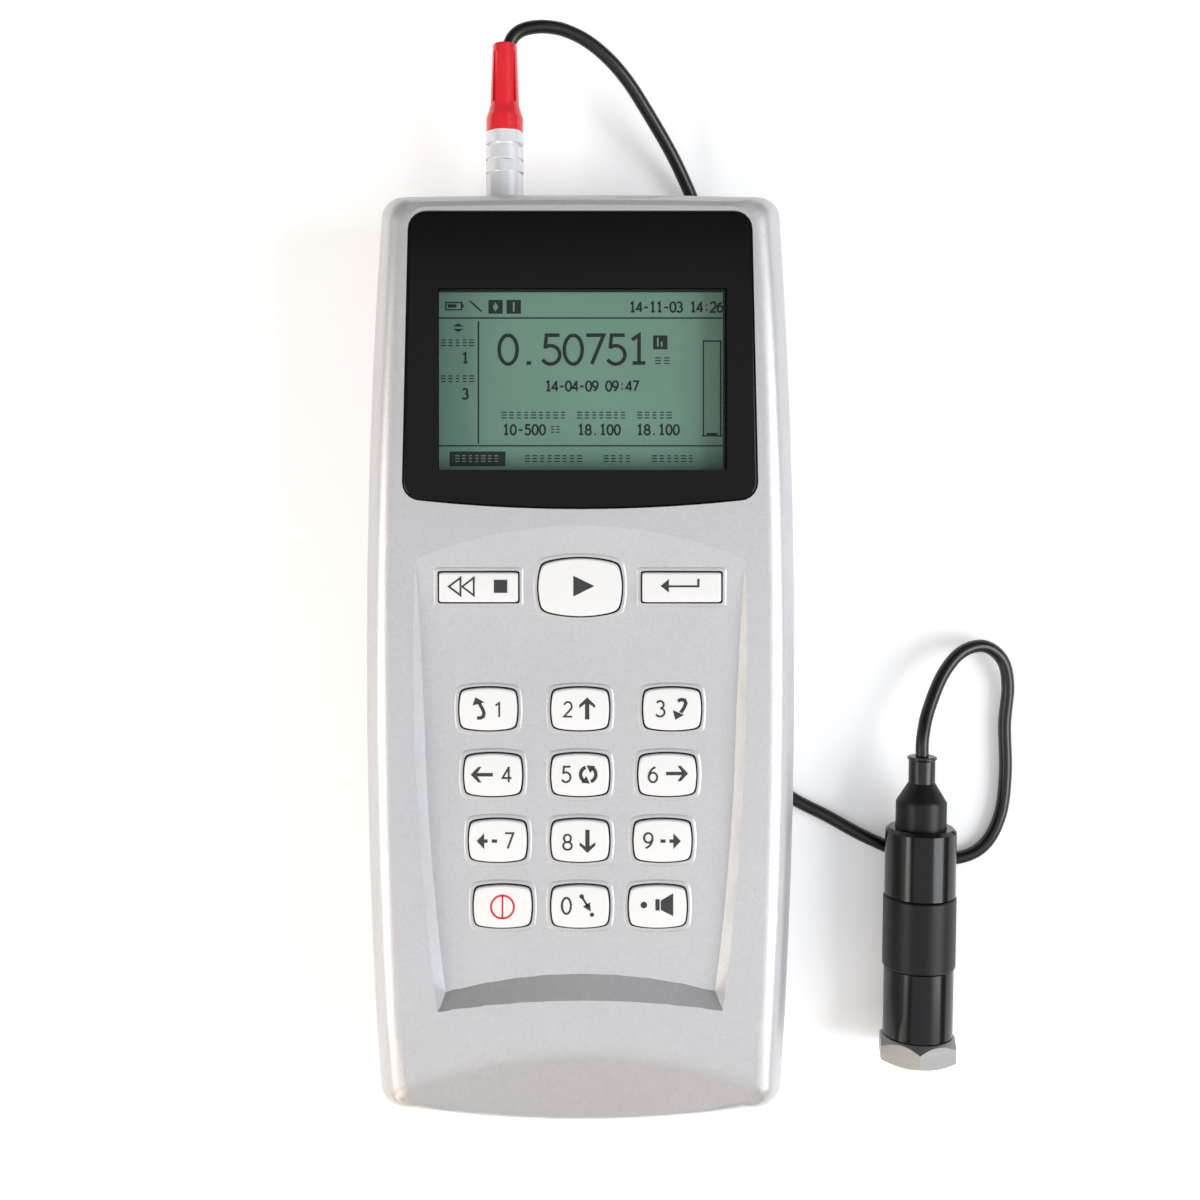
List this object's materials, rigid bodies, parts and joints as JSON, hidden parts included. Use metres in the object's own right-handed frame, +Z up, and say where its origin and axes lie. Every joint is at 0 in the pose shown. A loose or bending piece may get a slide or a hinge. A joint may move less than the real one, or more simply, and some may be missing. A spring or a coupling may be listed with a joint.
{
  "type": "vibration meter",
  "caption": "Handheld vibration meter lying on its back, with a display window, a dished keypad, and a lead from its top socket to a screw-on contact sensor.",
  "frame": {"origin": "on the table, at the middle of the rectangle that the case and the sensor take up together, not counting the lead and its plug", "axes": "+Z up out of the keypad, +Y towards the socket end of the case, +X towards the sensor"},
  "size_m": [0.1239, 0.2023, 0.0312],
  "materials": {
    "case_plastic": "fine-textured light grey paint on moulded plastic",
    "seal_rubber": "matt",
    "window_black": "glossy black print behind a clear sheet",
    "frame_steel": "plain sheet",
    "lcd": "grey-green display glass",
    "diffuser": "translucent white",
    "board": "green lacquer",
    "mat_rubber": "soft grey sheet",
    "key_plastic": "near white, slightly satin",
    "dark_plastic": "black",
    "cell_metal": "plain foil wrap",
    "spring_steel": "nickel plated",
    "screw_steel": "zinc plated",
    "foot_rubber": "black",
    "plug_chrome": "satin chrome plate",
    "boot_red": "glossy red",
    "lead_jacket": "satin black jacket",
    "sensor_black": "glossy black coat",
    "sleeve_black": "matt black sleeve",
    "base_steel": "turned stainless steel",
    "piezo": "unglazed ceramic look",
    "mass_metal": "dense sintered metal"
  },
  "bodies": {
    "meter": {"front_shell": "case_plastic", "rear_shell": "case_plastic", "parting_seal": "seal_rubber", "display_window": "window_black", "window_gasket": "seal_rubber", "lcd_frame": "frame_steel", "lcd_glass": "lcd", "backlight": "diffuser", "main_board": "board", "keypad_mat": "mat_rubber", "buzzer": "dark_plastic", "battery_cells": "cell_metal", "battery_contacts": "spring_steel", "case_screws": "screw_steel", "board_screws": "screw_steel", "rubber_feet": "foot_rubber", "connector_socket": "plug_chrome", "socket_nut": "plug_chrome", "input_board": "board", "input_shield": "frame_steel", "plug_core": "plug_chrome", "plug_nut": "plug_chrome", "plug_boot": "boot_red", "signal_lead": "lead_jacket", "sensor_ferrule": "lead_jacket", "sensor_gland": "dark_plastic", "sensor_upper_barrel": "sensor_black", "sensor_middle_sleeve": "sleeve_black", "sensor_lower_barrel": "sensor_black", "sensor_base": "base_steel", "piezo_rings": "piezo", "seismic_mass": "mass_metal", "preload_nut": "screw_steel", "sensor_board": "board"},
    "key_rewind_stop_body": {"key_rewind_stop": "key_plastic"},
    "key_play_body": {"key_play": "key_plastic"},
    "key_enter_body": {"key_enter": "key_plastic"},
    "key_1_body": {"key_1": "key_plastic"},
    "key_2_body": {"key_2": "key_plastic"},
    "key_3_body": {"key_3": "key_plastic"},
    "key_4_body": {"key_4": "key_plastic"},
    "key_5_body": {"key_5": "key_plastic"},
    "key_6_body": {"key_6": "key_plastic"},
    "key_7_body": {"key_7": "key_plastic"},
    "key_8_body": {"key_8": "key_plastic"},
    "key_9_body": {"key_9": "key_plastic"},
    "key_power_body": {"key_power": "key_plastic"},
    "key_0_body": {"key_0": "key_plastic"},
    "key_sound_body": {"key_sound": "key_plastic"},
    "plug_sleeve_body": {"plug_sleeve": "plug_chrome"},
    "battery_door_body": {"battery_door": "case_plastic"}
  },
  "joints": [
    {"name": "key_rewind_stop_press", "type": "slide", "parent": "meter", "child": "key_rewind_stop_body", "axis": [0, 0, -1], "range_m": [0, 0.0008], "stiffness_N_per_m": 250},
    {"name": "key_play_press", "type": "slide", "parent": "meter", "child": "key_play_body", "axis": [0, 0, -1], "range_m": [0, 0.0008], "stiffness_N_per_m": 250},
    {"name": "key_enter_press", "type": "slide", "parent": "meter", "child": "key_enter_body", "axis": [0, 0, -1], "range_m": [0, 0.0008], "stiffness_N_per_m": 250},
    {"name": "key_1_press", "type": "slide", "parent": "meter", "child": "key_1_body", "axis": [0, 0, -1], "range_m": [0, 0.0008], "stiffness_N_per_m": 250},
    {"name": "key_2_press", "type": "slide", "parent": "meter", "child": "key_2_body", "axis": [0, 0, -1], "range_m": [0, 0.0008], "stiffness_N_per_m": 250},
    {"name": "key_3_press", "type": "slide", "parent": "meter", "child": "key_3_body", "axis": [0, 0, -1], "range_m": [0, 0.0008], "stiffness_N_per_m": 250},
    {"name": "key_4_press", "type": "slide", "parent": "meter", "child": "key_4_body", "axis": [0, 0, -1], "range_m": [0, 0.0008], "stiffness_N_per_m": 250},
    {"name": "key_5_press", "type": "slide", "parent": "meter", "child": "key_5_body", "axis": [0, 0, -1], "range_m": [0, 0.0008], "stiffness_N_per_m": 250},
    {"name": "key_6_press", "type": "slide", "parent": "meter", "child": "key_6_body", "axis": [0, 0, -1], "range_m": [0, 0.0008], "stiffness_N_per_m": 250},
    {"name": "key_7_press", "type": "slide", "parent": "meter", "child": "key_7_body", "axis": [0, 0, -1], "range_m": [0, 0.0008], "stiffness_N_per_m": 250},
    {"name": "key_8_press", "type": "slide", "parent": "meter", "child": "key_8_body", "axis": [0, 0, -1], "range_m": [0, 0.0008], "stiffness_N_per_m": 250},
    {"name": "key_9_press", "type": "slide", "parent": "meter", "child": "key_9_body", "axis": [0, 0, -1], "range_m": [0, 0.0008], "stiffness_N_per_m": 250},
    {"name": "key_power_press", "type": "slide", "parent": "meter", "child": "key_power_body", "axis": [0, 0, -1], "range_m": [0, 0.0008], "stiffness_N_per_m": 250},
    {"name": "key_0_press", "type": "slide", "parent": "meter", "child": "key_0_body", "axis": [0, 0, -1], "range_m": [0, 0.0008], "stiffness_N_per_m": 250},
    {"name": "key_sound_press", "type": "slide", "parent": "meter", "child": "key_sound_body", "axis": [0, 0, -1], "range_m": [0, 0.0008], "stiffness_N_per_m": 250},
    {"name": "plug_sleeve_release", "type": "slide", "parent": "meter", "child": "plug_sleeve_body", "axis": [0, 1, 0], "range_m": [0, 0.0007], "stiffness_N_per_m": 1500},
    {"name": "battery_door_slide", "type": "slide", "parent": "meter", "child": "battery_door_body", "axis": [0, -1, 0], "range_m": [0, 0.012]}
  ]
}
